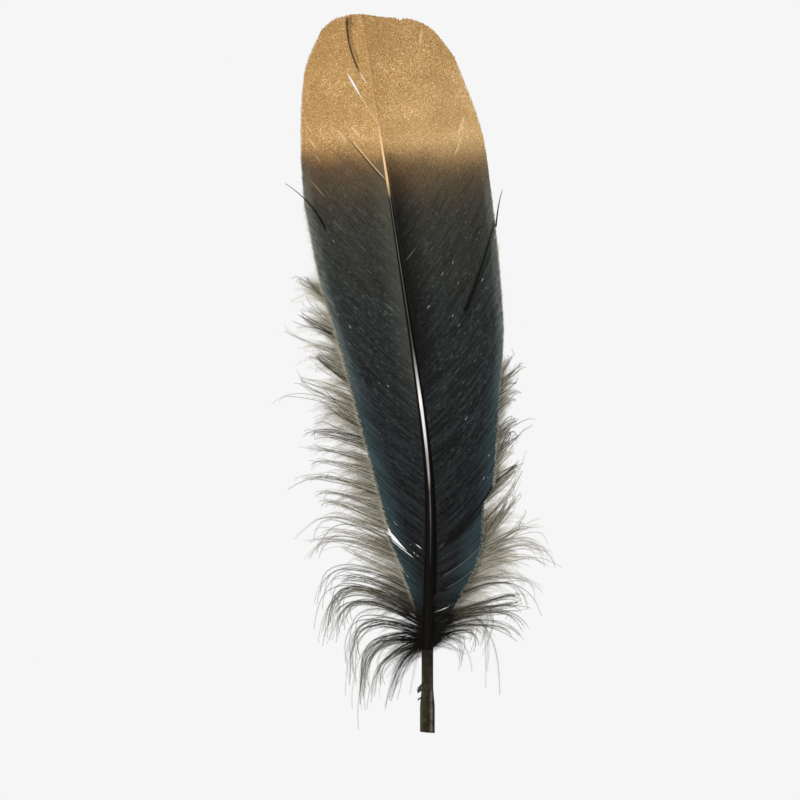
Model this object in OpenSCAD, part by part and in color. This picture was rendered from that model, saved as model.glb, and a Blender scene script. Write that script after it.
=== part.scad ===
// Feather quill: a dyed feather with a hollow barrel cut square at its lower end.
// Millimetres. Z runs up the shaft, the origin is the centre of the cut end of the barrel,
// and the smooth outer face of the feather looks towards -Y.

/* [Feather] */
// Height from the cut end to the top of the vane
feather_len = 250; // [230:1:280]
// Width of both vanes against the natural shape
vane_spread = 1; // [0.85:0.05:1.15]
// How far the tip bends back, away from the outer face
tip_bow = 10; // [0:1:20]

/* [Barrel] */
// Outer radius of the straight stretch at the cut end
barrel_r = 2.6; // [2.4:0.05:3]
// Inner radius of the straight stretch
barrel_bore_r = 2.25; // [1.9:0.05:2.3]
// Length of the straight stretch
barrel_grip_len = 8; // [6:0.5:10]
// Height at which the barrel has narrowed to the width of the shaft
barrel_neck_z = 17; // [14:0.5:19]
// Height at which the barrel ends and the shaft begins
barrel_top_z = 29; // [27:0.5:32]

/* [Shaft] */
// Width of the shaft where it leaves the barrel
shaft_w = 4.1; // [3.4:0.1:4.6]
// Width of the shaft at the tip
shaft_tip_w = 0.5; // [0.4:0.05:0.8]
// Thickness of the horny skin round the pith
skin_t = 0.3; // [0.2:0.05:0.4]
// Depth of the groove along the back, as a share of the shaft's width
groove_share = 0.18; // [0:0.02:0.24]

/* [Vane] */
// Thickness of the vane
vane_t = 0.36; // [0.24:0.02:0.6]
// How far the vane falls back close to the shaft, at the height where it is deepest
camber = 2.4; // [1:0.2:4]
// How far the edges sweep back beyond that
edge_sweep = 2.6; // [0:0.2:6]
// Gap between neighbouring panels of the vane, along the shaft
split_gap = 0.25; // [0.1:0.05:0.6]

/* [Down] */
// Radius of a downy barb at its root
down_r = 0.2; // [0.14:0.02:0.3]
// Downy barbs in each lock
down_count = 7; // [4:1:9]

/* [Hidden] */

LEFT = -1;
RIGHT = 1;

// The natural shape is set out for a shaft of this length above the barrel.
nominal_top = 250;
nominal_barrel = 29;
stretch = (feather_len - barrel_top_z) / (nominal_top - nominal_barrel);
function up(z) = barrel_top_z + (z - nominal_barrel) * stretch;
function down(z) = nominal_barrel + (z - barrel_top_z) / stretch;

// ---- Shaft line -------------------------------------------------------------------
// The shaft leans right at first, then turns left round turn_z and runs on nearly straight.
lean = 0.04;
turn = 0.193;
turn_z = 86;
turn_len = 12;
function soft(z) = turn_len * ln(1 + exp((z - turn_z) / turn_len));
function shaft_x(z) = let(n = down(z))
    n < nominal_barrel ? 0 : lean * (n - nominal_barrel) - turn * (soft(n) - soft(nominal_barrel));
function shaft_y(z) = let(u = max(0, z - barrel_top_z) / (feather_len - barrel_top_z)) tip_bow * u * u;

// The shaft keeps its width for a while above the barrel and then tapers to a hair.
taper_z = 58;
taper_power = 1.7;
function shaft_width(z) = let(u = min(1, max(0, down(z) - taper_z) / (nominal_top - taper_z)))
    shaft_tip_w + (shaft_w - shaft_tip_w) * pow(1 - u, taper_power);

// ---- Shaft section ----------------------------------------------------------------
// Round where it leaves the barrel, then nearly square with a groove along the back.
shaft_sides = 20;
squaring_len = 16;
square_power = 0.72;
function sign_pow(v, p) = sign(v) * pow(abs(v), p);
function section_power(z) = 1 - (1 - square_power) * min(1, max(0, z - barrel_top_z) / squaring_len);
function groove(z, a) = groove_share * min(1, max(0, z - barrel_top_z) / squaring_len)
    * (sin(a) > 0 ? pow(sin(a), 6) : 0);
function section_point(z, i, inset) =
    let(a = 360 * i / shaft_sides, p = section_power(z), r = shaft_width(z) / 2 - inset)
    [shaft_x(z) + r * sign_pow(cos(a), p),
     shaft_y(z) + r * sign_pow(sin(a), p) * (1 - 2 * groove(z, a)), z];
function shaft_ring(z, inset) = [for (i = [0 : shaft_sides - 1]) section_point(z, i, inset)];

// ---- Surfaces from rings and grids --------------------------------------------------
function flat(lists) = [for (list = lists) for (item = list) item];
function ring_walls(rings, sides, first) = [for (r = [0 : rings - 2]) for (i = [0 : sides - 1])
    let(a = first + r * sides + i, b = first + r * sides + (i + 1) % sides)
    each [[a, a + sides, b], [b, a + sides, b + sides]]];
function turned(faces) = [for (f = faces) [f[2], f[1], f[0]]];
function fan(first, sides) = [for (i = [1 : sides - 2]) [first, first + i, first + i + 1]];

// A closed body through a stack of rings that run counter-clockwise seen from above.
module stacked(rings) {
    sides = len(rings[0]);
    count = len(rings);
    polyhedron(flat(rings),
        concat(ring_walls(count, sides, 0), fan(0, sides), turned(fan((count - 1) * sides, sides))));
}

// ---- Barrel -------------------------------------------------------------------------
neck_steps = 6;
neck_r = shaft_w / 2;
neck_wall = skin_t + 0.05;
neck_bore_r = neck_r - neck_wall;
barrel_plug_t = 1.5;
function eased(u) = (1 - cos(180 * u)) / 2;
function neck(wide, narrow) = [for (i = [0 : neck_steps]) let(u = i / neck_steps)
    [wide + (narrow - wide) * eased(u), barrel_grip_len + (barrel_neck_z - barrel_grip_len) * u]];

module barrel() {
    hollow_top = barrel_top_z - barrel_plug_t;
    color("#3a3526")
    rotate_extrude($fn = 64)
        polygon(concat([[barrel_bore_r, 0], [barrel_r, 0]], neck(barrel_r, neck_r),
            [[neck_r, barrel_top_z], [0, barrel_top_z], [0, hollow_top], [neck_bore_r, hollow_top]],
            [for (i = [neck_steps : -1 : 0]) neck(barrel_bore_r, neck_bore_r)[i]]));
}

// The dried pulp of the growing feather: thin cups that close the barrel one above the other.
cap_t = 0.15;
cap_rise = 1.6;
cap_gap = 0.02;
first_cap_z = barrel_neck_z + 0.5;
cap_spacing = 3;
module pulp_cap(z) {
    r = neck_bore_r - cap_gap;
    color("#8d7f62")
    translate([0, 0, z])
        rotate_extrude($fn = 48)
            polygon([[0, cap_rise], [r, 0], [r, cap_t], [0, cap_rise + cap_t]]);
}
module pulp_cap_lower() pulp_cap(first_cap_z);
module pulp_cap_middle() pulp_cap(first_cap_z + cap_spacing);
module pulp_cap_upper() pulp_cap(first_cap_z + 2 * cap_spacing);

// ---- Shaft --------------------------------------------------------------------------
skin_rings = 26;
pith_rings = 20;
pith_top_z = up(200);
pith_gap = 0.02;
function skin_z(i) = barrel_top_z + (feather_len - barrel_top_z) * i / (skin_rings - 1);
function pith_z(i) = barrel_top_z + (pith_top_z - barrel_top_z) * i / (pith_rings - 1);
function skin_wall(z) = min(skin_t, shaft_width(z) / 4);

// The horny skin is one surface: up the outside, down the hollow, joined at the lower end.
module shaft_skin() {
    outer = [for (i = [0 : skin_rings - 1]) shaft_ring(skin_z(i), 0)];
    inner = [for (i = [0 : pith_rings - 1]) shaft_ring(pith_z(i), skin_wall(pith_z(i)))];
    inner_first = skin_rings * shaft_sides;
    lower_rim = [for (i = [0 : shaft_sides - 1]) let(j = (i + 1) % shaft_sides)
        each [[i, j, inner_first + j], [i, inner_first + j, inner_first + i]]];
    color("#26231b")
    polyhedron(flat(concat(outer, inner)), concat(
        ring_walls(skin_rings, shaft_sides, 0),
        turned(fan((skin_rings - 1) * shaft_sides, shaft_sides)),
        turned(ring_walls(pith_rings, shaft_sides, inner_first)),
        fan(inner_first + (pith_rings - 1) * shaft_sides, shaft_sides),
        lower_rim));
}

module shaft_pith() {
    color("#d8d0bd")
    stacked([for (i = [0 : pith_rings - 1]) let(z = pith_z(i) - (i == 0 ? 0 : pith_gap))
        shaft_ring(z, skin_wall(pith_z(i)) + pith_gap)]);
}

// ---- Vane ---------------------------------------------------------------------------
// A guide barb is [height of its root on the shaft, x of its tip, height of its tip].
// Each panel lies between its own first and last guide barb, so the splits stay open.
left_base_barbs = [[33, -2.8, 38.5], [40, -5, 45.5], [48, -8.6, 56], [57.4, -13.2, 68.6]];
left_lower_barbs = [[58.4, -14.4, 71], [72, -18.2, 87], [90, -24, 109], [108, -31, 135],
    [125, -37.4, 156], [149.6, -42.6, 182]];
left_middle_barbs = [[150, -42.8, 183], [165, -44.2, 204], [191, -42.9, 229.5], [209.6, -37, 244.4]];
left_upper_barbs = [[210.4, -36.4, 245.2], [216, -32.8, 248.2], [222.4, -28, 249.7]];
left_tip_barbs = [[223.2, -27, 249.8], [234, -25.2, 250], [246, -23.6, 250]];
right_base_barbs = [[31, 3.9, 32.8], [36, 6.8, 39.5], [41.6, 10.4, 45.6]];
right_lower_barbs = [[42.4, 11.3, 46.8], [47.5, 15.8, 55.4], [52, 18.6, 63.5], [57, 19.5, 70.5],
    [62, 19.8, 77]];
right_middle_barbs = [[63, 23.3, 86.5], [75, 24.2, 99.5], [90, 25.3, 119.5], [105, 26.6, 141],
    [125.6, 24.7, 168]];
right_upper_barbs = [[126, 24.6, 168.6], [140, 22.2, 189], [160, 18.6, 211], [184.6, 9.6, 235]];
right_tip_barbs = [[185, 9.4, 235.4], [200, 1.5, 245], [215, -6.5, 248.6], [232, -14.5, 249],
    [246, -22, 250]];

// How strongly a barb bends up towards its tip, as a share of its length
left_curl = 0.05;
right_curl = 0.11;
barb_steps = 9;
camber_len = 5;
camber_z = 165;
camber_spread = 40;
flattest = 0.35;
sweep_width = 32;
root_gap = 0.12;
root_rise = 0.2;

// A smooth curve through the guides, the Catmull-Rom way.
function blend(a, b, c, d, f) =
    (2 * b + (c - a) * f + (2 * a - 5 * b + 4 * c - d) * f * f + (3 * b - a - 3 * c + d) * f * f * f) / 2;
function guide(list, u) = let(n = len(list) - 1, i = min(n - 1, floor(u * n)), f = u * n - i)
    blend(list[max(0, i - 1)], list[i], list[i + 1], list[min(n, i + 2)], f);

// The vane is deepest behind the shaft round camber_z and flatter above and below it.
function camber_at(z) = let(u = (down(z) - camber_z) / camber_spread)
    camber * (flattest + (1 - flattest) * exp(-u * u));
function fall(v, z) = camber_at(z) * (1 - exp(-v / camber_len)) + edge_sweep * pow(v / sweep_width, 2);
function barb_root(side, z) = [shaft_x(z) + side * (shaft_width(z) / 2 + root_gap), z];
function barb_tip(g) = [shaft_x(up(g[2])) + (g[1] - shaft_x(up(g[2]))) * vane_spread, up(g[2])];
function bend_point(side, a, b) = (a + b) / 2
    + (side == LEFT ? left_curl : right_curl) * side * [b[1] - a[1], a[0] - b[0]];
function bow_point(a, c, b, t) = (1 - t) * (1 - t) * a + 2 * t * (1 - t) * c + t * t * b;
function barb_point(side, g, t, back) =
    let(a = barb_root(side, up(g[0])), b = barb_tip(g), p = bow_point(a, bend_point(side, a, b), b, t))
    [p[0], back + shaft_y(p[1]) - root_rise * shaft_width(up(g[0]))
        + fall(abs(p[0] - shaft_x(p[1])), p[1]), p[1]];

module vane_panel(side, barbs) {
    rows = 3 * (len(barbs) - 1) + 1;
    cols = barb_steps;
    span = (barbs[len(barbs) - 1][0] - barbs[0][0]) * stretch;
    edge = split_gap / 2 / span;
    front = [for (i = [0 : rows - 1]) let(u = edge + (1 - 2 * edge) * i / (rows - 1))
        for (j = [0 : cols - 1]) barb_point(side, guide(barbs, u), j / (cols - 1), 0)];
    behind = [for (p = front) p + [0, vane_t, 0]];
    n = rows * cols;
    sheet = [for (i = [0 : rows - 2]) for (j = [0 : cols - 2]) let(a = i * cols + j)
        each [[a, a + 1, a + cols + 1], [a, a + cols + 1, a + cols]]];
    rim = concat([for (j = [0 : cols - 1]) j],
        [for (i = [1 : rows - 1]) i * cols + cols - 1],
        [for (j = [cols - 2 : -1 : 0]) (rows - 1) * cols + j],
        [for (i = [rows - 2 : -1 : 1]) i * cols]);
    edge_walls = [for (i = [0 : len(rim) - 1]) let(a = rim[i], b = rim[(i + 1) % len(rim)])
        each [[b, a, a + n], [b, a + n, b + n]]];
    faces = concat(sheet, [for (f = sheet) [f[2] + n, f[1] + n, f[0] + n]], edge_walls);
    polyhedron(concat(front, behind), side == LEFT ? faces : turned(faces));
}

module left_vane_base() color("#1b2a33") vane_panel(LEFT, left_base_barbs);
module left_vane_lower() color("#22292c") vane_panel(LEFT, left_lower_barbs);
module left_vane_middle() color("#2e2c29") vane_panel(LEFT, left_middle_barbs);
module left_vane_upper() color("#b8935a") vane_panel(LEFT, left_upper_barbs);
module left_vane_tip() color("#b8935a") vane_panel(LEFT, left_tip_barbs);
module right_vane_base() color("#1b2a33") vane_panel(RIGHT, right_base_barbs);
module right_vane_lower() color("#1c262d") vane_panel(RIGHT, right_lower_barbs);
module right_vane_middle() color("#20262a") vane_panel(RIGHT, right_middle_barbs);
module right_vane_upper() color("#4a3d2b") vane_panel(RIGHT, right_upper_barbs);
module right_vane_tip() color("#b8935a") vane_panel(RIGHT, right_tip_barbs);

// ---- Tapered barbs ------------------------------------------------------------------
// A barb as a three-sided rod, swept along a bent line and drawn out to a point.
rod_steps = 7;
rod_sides = 3;
rod_tip_share = 0.3;
look_ahead = 0.01;
function rod_ring(a, c, b, t, r) =
    let(p = bow_point(a, c, b, t), q = bow_point(a, c, b, t + look_ahead), d = (q - p) / norm(q - p),
        s = cross(d, [0, 1, 0]) / norm(cross(d, [0, 1, 0])), f = cross(s, d),
        w = r * (1 - (1 - rod_tip_share) * t))
    [for (i = [0 : rod_sides - 1]) let(k = 360 * i / rod_sides) p + w * (cos(k) * s + sin(k) * f)];
function rod_points(a, c, b, r) = flat([for (i = [0 : rod_steps]) rod_ring(a, c, b, i / rod_steps, r)]);
function rod_faces(first) = concat(turned(ring_walls(rod_steps + 1, rod_sides, first)),
    turned(fan(first, rod_sides)), fan(first + rod_sides * rod_steps, rod_sides));
module rods(list) {
    polyhedron(flat([for (rod = list) rod_points(rod[0], rod[1], rod[2], rod[3])]),
        flat([for (i = [0 : len(list) - 1]) rod_faces(rod_sides * (rod_steps + 1) * i)]));
}

// ---- Down ---------------------------------------------------------------------------
// A lock is [x of its root, height of its root, x of its tip, height of its tip, droop].
left_down = [
    [-34.5, 150, -43.5, 158, 0.16], [-30.5, 135, -51.5, 143, 0.18], [-27, 123, -48.5, 124, 0.22],
    [-25, 114, -56, 116, 0.2], [-21.5, 102, -43.5, 103, 0.26], [-17.6, 89, -49, 85, 0.3],
    [-13.6, 75, -46.5, 67, 0.32], [-11.2, 65, -43, 58, 0.34], [-8, 55, -41, 43, 0.38],
    [-5.4, 46, -37, 31, 0.42], [-3.4, 37, -30, 15, 0.42], [-3.2, 31, -24, 8, 0.38]
];
right_down = [
    [24, 125, 33, 129, 0.14], [23.4, 109, 32.6, 119, 0.14], [22.6, 95, 32.6, 103, 0.14],
    [21.5, 84, 33, 93, 0.16], [18.2, 76, 35.8, 79, 0.16], [18, 68, 42, 74, 0.18],
    [16, 59, 44.6, 56, 0.26], [11.4, 50, 41, 40, 0.32], [8, 43, 35, 32, 0.36],
    [4, 36, 22, 15, 0.38], [3.2, 32, 16, 12, 0.36]
];
root_step = 0.75;
tip_step = 1.4;
layer_step = 0.55;
root_slant = 0.12;
down_back = 0.7;
down_drift = 0.08;

// The barbs of a lock end unevenly, in up to reach_levels lengths.
reach_levels = 5;
reach_step = 0.05;

function down_layer(x, z, j) = shaft_y(z) + fall(abs(x - shaft_x(z)), z) + down_back + j * layer_step;
function down_rod(lock, j) =
    let(m = j - (down_count - 1) / 2, reach = 1 - reach_step * ((3 * j) % reach_levels), side = sign(lock[0]),
        rx = lock[0], rz = up(lock[1]) + root_step * m,
        tx = rx + (lock[2] - lock[0]) * reach, tz = up(lock[3]) + tip_step * m,
        run = abs(tx - rx), y = down_layer(rx, rz, j),
        a = [rx - side * root_slant * m, y, rz], b = [tx, y + down_drift * run, tz])
    [a, (a + b) / 2 + [0, 0, lock[4] * run], b, down_r];
module down_lock(lock) {
    color("#3c3a33")
    rods([for (j = [0 : down_count - 1]) down_rod(lock, j)]);
}

// ---- Loose barbs --------------------------------------------------------------------
loose_front = 0.8;
loose_r = 0.22;
function loose_point(x, z, front) = [x, shaft_y(z) + fall(abs(x - shaft_x(z)), z) - front, z];
module loose_barb(x0, z0, x1, z1, x2, z2) {
    color("#1a1d1e")
    rods([[loose_point(x0, up(z0), loose_front), loose_point(x1, up(z1), 2 * loose_front),
        loose_point(x2, up(z2), loose_front), loose_r]]);
}
module loose_barb_left() loose_barb(-35.5, 175, -40, 185, -49.5, 191);
module loose_barb_right() loose_barb(13, 146.5, 20, 163, 23.5, 178.5);
module loose_barb_outer() loose_barb(23.9, 176, 24.6, 184, 26.2, 189);

// ---- Sheath flakes ------------------------------------------------------------------
// Shreds of the old sheath that stand off the left side of the barrel and point down.
// They are drawn with X out from the barrel and Y down it.
flake_gap = 0.02;
module on_barrel_side(z, r, width) {
    translate([-r - flake_gap, width / 2, z])
        rotate([90, 0, 180])
            mirror([0, 1, 0])
                translate([0, 0, -width])
                    children();
}

// A thorn: a bulging back and a hollow under its point
thorn_len = 3.1;
thorn_width = 1.2;
thorn_stand_off = 0.15;
thorn_back_r = 5.36;
thorn_back_center = [-4.05, 3.52];
thorn_hollow_r = 0.66;
thorn_hollow_center = [0.7, thorn_len];
module sheath_flake_upper() {
    color("#2b2620")
    on_barrel_side(barrel_neck_z, neck_r + thorn_stand_off, thorn_width)
        linear_extrude(thorn_width)
            difference() {
                intersection() {
                    translate(thorn_back_center)
                        circle(r = thorn_back_r, $fn = 64);
                    square([thorn_back_r, thorn_len]);
                }
                translate(thorn_hollow_center)
                    circle(r = thorn_hollow_r, $fn = 32);
            }
}

// A narrow curl
curl_r = 1.3;
curl_t = 0.3;
curl_width = 0.7;
curl_start = 30;
curl_sweep = 55;
curl_drop = 4.4;
curl_sink = 0.1;
module sheath_flake_lower() {
    color("#2b2620")
    on_barrel_side(barrel_neck_z - curl_drop, barrel_r - curl_sink, curl_width)
        translate([curl_r, 0, 0])
            rotate([0, 0, 180 - curl_start - curl_sweep])
                rotate_extrude(angle = curl_sweep, $fn = 40)
                    translate([curl_r - curl_t / 2, 0])
                        square([curl_t, curl_width]);
}

barrel();
pulp_cap_lower();
pulp_cap_middle();
pulp_cap_upper();
shaft_skin();
shaft_pith();
left_vane_base();
left_vane_lower();
left_vane_middle();
left_vane_upper();
left_vane_tip();
right_vane_base();
right_vane_lower();
right_vane_middle();
right_vane_upper();
right_vane_tip();
down_lock(left_down[0]);  // left_down_1
down_lock(left_down[1]);  // left_down_2
down_lock(left_down[2]);  // left_down_3
down_lock(left_down[3]);  // left_down_4
down_lock(left_down[4]);  // left_down_5
down_lock(left_down[5]);  // left_down_6
down_lock(left_down[6]);  // left_down_7
down_lock(left_down[7]);  // left_down_8
down_lock(left_down[8]);  // left_down_9
down_lock(left_down[9]);  // left_down_10
down_lock(left_down[10]);  // left_down_11
down_lock(left_down[11]);  // left_down_12
down_lock(right_down[0]);  // right_down_1
down_lock(right_down[1]);  // right_down_2
down_lock(right_down[2]);  // right_down_3
down_lock(right_down[3]);  // right_down_4
down_lock(right_down[4]);  // right_down_5
down_lock(right_down[5]);  // right_down_6
down_lock(right_down[6]);  // right_down_7
down_lock(right_down[7]);  // right_down_8
down_lock(right_down[8]);  // right_down_9
down_lock(right_down[9]);  // right_down_10
down_lock(right_down[10]);  // right_down_11
loose_barb_left();
loose_barb_right();
loose_barb_outer();
sheath_flake_upper();
sheath_flake_lower();
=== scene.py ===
import bpy
import numpy as np
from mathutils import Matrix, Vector


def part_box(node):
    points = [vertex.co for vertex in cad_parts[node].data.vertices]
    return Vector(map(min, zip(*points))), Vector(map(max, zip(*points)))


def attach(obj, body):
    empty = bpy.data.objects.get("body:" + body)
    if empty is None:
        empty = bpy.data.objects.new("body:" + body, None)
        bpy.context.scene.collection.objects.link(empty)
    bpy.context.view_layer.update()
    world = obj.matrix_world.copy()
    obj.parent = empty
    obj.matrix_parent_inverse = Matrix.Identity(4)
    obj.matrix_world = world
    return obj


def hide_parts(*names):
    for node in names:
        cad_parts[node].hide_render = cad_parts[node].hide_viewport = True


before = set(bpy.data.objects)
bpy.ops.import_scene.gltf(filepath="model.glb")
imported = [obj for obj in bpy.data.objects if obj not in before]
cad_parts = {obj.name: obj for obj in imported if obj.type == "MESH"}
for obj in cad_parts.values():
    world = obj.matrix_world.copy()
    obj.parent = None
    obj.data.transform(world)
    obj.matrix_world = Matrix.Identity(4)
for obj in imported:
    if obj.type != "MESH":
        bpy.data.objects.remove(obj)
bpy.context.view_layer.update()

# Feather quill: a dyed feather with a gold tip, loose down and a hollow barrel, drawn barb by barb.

MM = 0.001
LEFT = -1
RIGHT = 1
WORD = {LEFT: "left", RIGHT: "right"}
seeded = np.random.default_rng
join = np.concatenate


# ---- Camera and light ----
LENS = 324.2
CAMERA_X = -0.0095
CAMERA_Z = 0.1156
CAMERA_FAR = 2.5
LIT_PLACE = (-0.008, 0, 0.13)
BACKDROP = 0.921
AMBIENT = 0.4


def new_object(name, data):
    obj = bpy.data.objects.new(name, data)
    bpy.context.scene.collection.objects.link(obj)
    return obj


def look_at(obj, place, target):
    obj.location = place
    obj.rotation_euler = (Vector(target) - Vector(place)).to_track_quat("-Z", "Y").to_euler()


def add_camera():
    """Straight in front of the smooth outer face, from far enough away to show it nearly flat."""
    data = bpy.data.cameras.new("camera")
    camera = new_object("camera", data)
    data.sensor_width = 36
    data.lens = LENS
    data.clip_start = 0.05
    data.clip_end = 20
    look_at(camera, (CAMERA_X, -CAMERA_FAR, CAMERA_Z), (CAMERA_X, 0, CAMERA_Z))
    bpy.context.scene.camera = camera


def add_area_light(name, place, size, power):
    data = bpy.data.lights.new(name, "AREA")
    data.shape = "DISK"
    data.size = size
    data.energy = power
    look_at(new_object(name, data), place, LIT_PLACE)


def add_world():
    """Pale all round: the camera sees the backdrop, and the object is lit by a dimmer sky."""
    world = bpy.data.worlds.new("studio")
    bpy.context.scene.world = world
    world.use_nodes = True
    tree = world.node_tree
    background = tree.nodes["Background"]
    path = tree.nodes.new("ShaderNodeLightPath")
    level = tree.nodes.new("ShaderNodeMapRange")
    level.inputs["To Min"].default_value = AMBIENT
    level.inputs["To Max"].default_value = BACKDROP
    tree.links.new(path.outputs["Is Camera Ray"], level.inputs["Value"])
    tree.links.new(level.outputs["Result"], background.inputs["Strength"])
    background.inputs["Color"].default_value = (1, 1, 1, 1)


add_camera()
bpy.context.scene.view_settings.view_transform = "Standard"
add_world()
add_area_light("key_light", (-0.85, -1.15, 0.65), 0.4, 15.4)
add_area_light("fill_light", (0.9, -1.4, 0.3), 0.9, 4)
add_area_light("back_light", (0.5, 1.3, 0.9), 0.8, 6)


# ---- Shape of the feather, in millimetres ----
BARREL_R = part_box("barrel")[1].x / MM
BARREL_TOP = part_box("barrel")[1].z / MM
FEATHER_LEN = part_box("shaft_skin")[1].z / MM
SHAFT_W = 4.1
SHAFT_TIP_W = 0.5
TIP_BOW = 10
BORE_R = 2.25
GRIP_LEN = 8
NECK_Z = 17

LEAN = 0.04
TURN = 0.193
TURN_Z = 86
TURN_LEN = 12
TAPER_Z = 58
TAPER_POWER = 1.7
SQUARING_LEN = 16
SQUARE_POWER = 0.72
GROOVE_SHARE = 0.18

CAMBER = 2.4
CAMBER_LEN = 5
CAMBER_Z = 165
CAMBER_SPREAD = 40
FLATTEST = 0.35
EDGE_SWEEP = 2.6
SWEEP_WIDTH = 32
ROOT_GAP = -0.4
ROOT_RISE = 0.2
CURL = {LEFT: 0.05, RIGHT: 0.11}
TIP_CURL = 0.16
TIP_CURL_Z = 212
TIP_CURL_LEN = 11

# A panel is (how far it is carried on past its first and last guide barb, to close or narrow the splits),
# then its guide barbs: (height of the root on the shaft, x of the tip, height of the tip).
PANELS = {
    "left_vane_base": ((0, 0.8), [(33, -2.8, 38.5), (40, -5, 45.5), (48, -8.6, 56), (57.4, -13.2, 68.6)]),
    "left_vane_lower": ((0.8, 0.6), [
        (58.4, -14.4, 71), (72, -18.2, 87), (90, -24, 109), (108, -31, 135), (125, -37.4, 156),
        (149.6, -42.6, 182),
    ]),
    "left_vane_middle": ((0.6, 1), [
        (150, -42.8, 183), (165, -44.2, 204), (191, -42.9, 229.5), (209.6, -37, 244.4),
    ]),
    "left_vane_upper": ((0.8, 1.6), [(210.4, -36.4, 245.2), (216, -32.8, 248.2), (222.4, -28, 249.7)]),
    "left_vane_tip": ((0.6, 1.6), [(223.2, -27, 249.8), (234, -25.2, 250), (246, -22.9, 250)]),
    "right_vane_base": ((0, 0.3), [(31, 3.9, 32.8), (36, 6.8, 39.5), (41.6, 10.4, 45.6)]),
    "right_vane_lower": ((0.3, 4), [
        (42.4, 11.3, 46.8), (47.5, 15.8, 55.4), (52, 18.6, 63.5), (57, 19.5, 70.5), (62, 19.8, 77),
    ]),
    "right_vane_middle": ((0.3, 0.5), [
        (63, 23.3, 86.5), (75, 24.2, 99.5), (90, 25.3, 119.5), (105, 26.6, 141), (125.6, 24.7, 168),
    ]),
    "right_vane_upper": ((0.5, 0.5), [
        (126, 24.6, 168.6), (140, 22.2, 189), (160, 18.6, 211), (184.6, 9.6, 235),
    ]),
    "right_vane_tip": ((0.5, 1.6), [
        (185, 9.4, 235.4), (200, 1.5, 245), (215, -6.5, 248.6), (232, -14.5, 249), (246, -22, 250),
    ]),
}

# The heights at which the locks of down leave the vane.
LOCKS = {
    LEFT: (150, 135, 123, 114, 102, 89, 75, 65, 55, 46, 37, 31),
    RIGHT: (125, 109, 95, 84, 76, 68, 59, 50, 43, 36, 32),
}

# A wisp of down is (height where it leaves the vane, x and height of its middle, x and height of its tip,
# number of strands).
WISPS = {
    LEFT: [
        (152, -41.5, 155, -45.5, 157.5, 5), (150.5, -40, 155, -43, 159.5, 5),
        (142.5, -39, 145.5, -44, 148.5, 5), (137.5, -39, 141.5, -45, 144.5, 9),
        (130.5, -41.5, 136, -51.5, 141.5, 3), (127.5, -35, 130, -40, 132.5, 5),
        (122, -33, 126, -38.5, 131, 9), (116, -36.5, 121, -44.5, 125.5, 6), (112.5, -38, 118, -48, 123, 4),
        (109, -40.5, 116, -56, 115, 2), (106, -31.5, 111.5, -38, 116.5, 6), (100.5, -34, 104, -43, 103, 10),
        (93.5, -33, 98, -42, 99, 8), (88.5, -31.5, 93.5, -41, 94.5, 7), (84, -33, 88.5, -43.5, 88.5, 7),
        (81.5, -35, 87.5, -50, 84.5, 2), (78.5, -30, 83, -41, 84.5, 7), (73.5, -28.5, 79, -39.5, 80.5, 8),
        (69.5, -28, 74.5, -39, 76, 7), (64.5, -31.5, 73.5, -46, 67, 3), (63, -28.5, 69, -43, 68, 7),
        (60, -30, 67, -42.5, 59.5, 7), (54.5, -21, 60.5, -30, 64.5, 7), (51, -28, 58, -41, 44, 4),
        (49, -21, 53, -31, 52, 8), (45.5, -26, 50.5, -37, 35, 10), (44, -24.5, 49, -35.5, 38.5, 8),
        (41.5, -23, 45.5, -34.5, 31.5, 9), (35, -21, 38, -27.5, 18.5, 11), (32.5, -18.5, 30.5, -24, 7.5, 11),
        (31.5, -17, 29, -22.5, 9.5, 8), (30.5, -13.5, 26, -19.5, 11.5, 8), (29.5, -8.5, 25.5, -14, 8.5, 7),
    ],
    RIGHT: [
        (125.5, 27.5, 128.5, 29, 131.5, 4), (121.5, 29.5, 124.5, 34, 127.5, 4),
        (117.5, 28.5, 120, 31.5, 122.5, 5), (114.5, 28.5, 117.5, 33, 119.5, 4),
        (110.5, 27.5, 114, 30, 117.5, 5), (103.5, 28, 107, 32, 110, 8),
        (100, 27.5, 104, 29.5, 108, 6), (95.5, 28.5, 100.5, 33, 104, 7), (91.5, 27.5, 96.5, 30.5, 101.5, 6),
        (87.5, 28.5, 91, 33, 94.5, 9), (82.5, 27.5, 88, 31.5, 93, 8), (74, 28, 82, 32.5, 92, 8),
        (66, 27.5, 77, 31, 84, 8), (68, 25.5, 76, 28, 81, 6), (63, 29.5, 70, 35.5, 79, 5),
        (63, 29.5, 69.5, 40.5, 72.5, 6), (61.5, 34, 67, 44.5, 56, 4), (59, 31, 64.5, 42, 61, 8),
        (56, 28.5, 61, 43, 58, 7), (52.5, 26.5, 55.5, 41.5, 51.5, 7), (48.5, 25.5, 52, 41, 40.5, 4),
        (45, 23.5, 46.5, 34, 47.5, 10), (43.5, 22, 43.5, 32.5, 44, 10), (41.5, 23, 42, 36, 38.5, 8),
        (38.5, 20.5, 38.5, 34, 32, 7), (37, 19.5, 43.5, 19.5, 26, 5), (36, 17, 40, 22, 15, 3),
        (33, 13, 35.5, 16, 29, 6), (31, 10, 34, 12.5, 24.5, 5),
    ],
}


def soft(z):
    return TURN_LEN * np.log1p(np.exp((z - TURN_Z) / TURN_LEN))


def shaft_x(z):
    z = np.asarray(z, float)
    bent = LEAN * (z - BARREL_TOP) - TURN * (soft(z) - soft(BARREL_TOP))
    return np.where(z < BARREL_TOP, 0, bent)


def shaft_y(z):
    return TIP_BOW * (np.maximum(0, np.asarray(z, float) - BARREL_TOP) / (FEATHER_LEN - BARREL_TOP)) ** 2


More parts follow.
